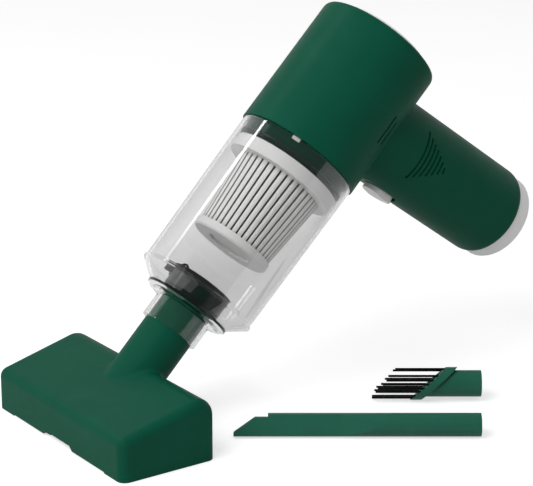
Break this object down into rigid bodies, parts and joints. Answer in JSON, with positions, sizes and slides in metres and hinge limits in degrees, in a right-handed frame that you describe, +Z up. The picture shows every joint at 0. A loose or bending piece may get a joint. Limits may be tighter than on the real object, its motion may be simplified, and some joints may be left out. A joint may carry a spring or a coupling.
{
  "type": "desktop mini vacuum cleaner",
  "caption": "Cordless desktop mini vacuum: green motor barrel and side handle on a clear dust cup with pleated filter, leaning on a floor head, with loose brush and crevice tools.",
  "frame": {"origin": "centre of the floor head's footprint, on the surface it stands on", "axes": "+X the way the barrel leans back from the head, +Y along the floor head, +Z up"},
  "size_m": [0.2826, 0.1707, 0.1926],
  "materials": {
    "green_plastic": "satin moulded plastic",
    "dark_green_plastic": "satin moulded plastic",
    "clear_plastic": "clear polished plastic",
    "white_plastic": "semi-gloss moulded plastic",
    "black_plastic": "satin",
    "black_rubber": "matt",
    "filter_paper": "pleated filter paper",
    "bristle_nylon": "nylon filament",
    "screw_steel": "plain",
    "motor_steel": "plain",
    "bearing_brass": "plain",
    "cell_sleeve": "shrink sleeve",
    "board_green": "solder mask"
  },
  "bodies": {
    "head": {"head_shell": "green_plastic", "sole_plate": "black_plastic", "head_screws": "screw_steel"},
    "cup": {"inlet_nose": "clear_plastic", "nose_seal_ring": "black_rubber", "dust_cup": "clear_plastic", "inlet_sleeve": "black_plastic", "flap_pin": "screw_steel"},
    "flap": {"flap_valve": "black_plastic"},
    "motor_unit": {"neck_collar": "dark_green_plastic", "collar_seal": "black_rubber", "motor_housing": "green_plastic", "top_cap": "white_plastic", "index_mark": "white_plastic", "fan_shroud": "black_plastic", "motor_mount": "black_plastic", "motor_can": "motor_steel", "motor_end_bell": "black_plastic", "motor_bearings": "bearing_brass", "motor_screws": "screw_steel", "handle_shell": "green_plastic", "handle_end_cap": "white_plastic", "battery_cells": "cell_sleeve", "battery_tray": "black_plastic", "control_board": "board_green", "power_switch": "black_plastic", "charging_socket": "motor_steel"},
    "filter": {"filter_end_cap": "white_plastic", "filter_pleats": "filter_paper", "filter_top_ring": "white_plastic", "filter_gasket": "black_rubber"},
    "rotor": {"motor_shaft": "motor_steel", "fan_impeller": "white_plastic"},
    "button": {"power_button": "white_plastic"},
    "brush_tool": {"brush_body": "green_plastic", "brush_bristles": "bristle_nylon"},
    "crevice_tool": {"crevice_nozzle": "green_plastic"}
  },
  "joints": [
    {"name": "cup_pull", "type": "slide", "parent": "head", "child": "cup", "axis": [0.7071, 0, 0.7071], "range_m": [0, 0.03]},
    {"name": "flap_hinge", "type": "hinge", "parent": "cup", "child": "flap", "pos_m": [0.04978, 0.0151, 0.06957], "axis": [-0.5997, -0.5299, 0.5997], "range_deg": [0, 35]},
    {"name": "motor_unit_pull", "type": "slide", "parent": "cup", "child": "motor_unit", "axis": [0.7071, 0, 0.7071], "range_m": [0, 0.075]},
    {"name": "filter_twist", "type": "hinge", "parent": "motor_unit", "child": "filter", "pos_m": [0.09962, 0, 0.10607], "axis": [0.7071, 0, 0.7071], "range_deg": [0, 30]},
    {"name": "rotor_spin", "type": "hinge", "parent": "motor_unit", "child": "rotor", "pos_m": [0.13497, 0, 0.14142], "axis": [0.7071, 0, 0.7071], "continuous": true},
    {"name": "button_press", "type": "slide", "parent": "motor_unit", "child": "button", "axis": [0.5736, 0, 0.8192], "range_m": [0, 0.0015], "stiffness_N_per_m": 400, "springref_m": -0.0005},
    {"name": "brush_lift", "type": "slide", "parent": "head", "child": "brush_tool", "axis": [0, 0, 1], "range_m": [0, 0.06]},
    {"name": "crevice_lift", "type": "slide", "parent": "head", "child": "crevice_tool", "axis": [0, 0, 1], "range_m": [0, 0.06]}
  ]
}
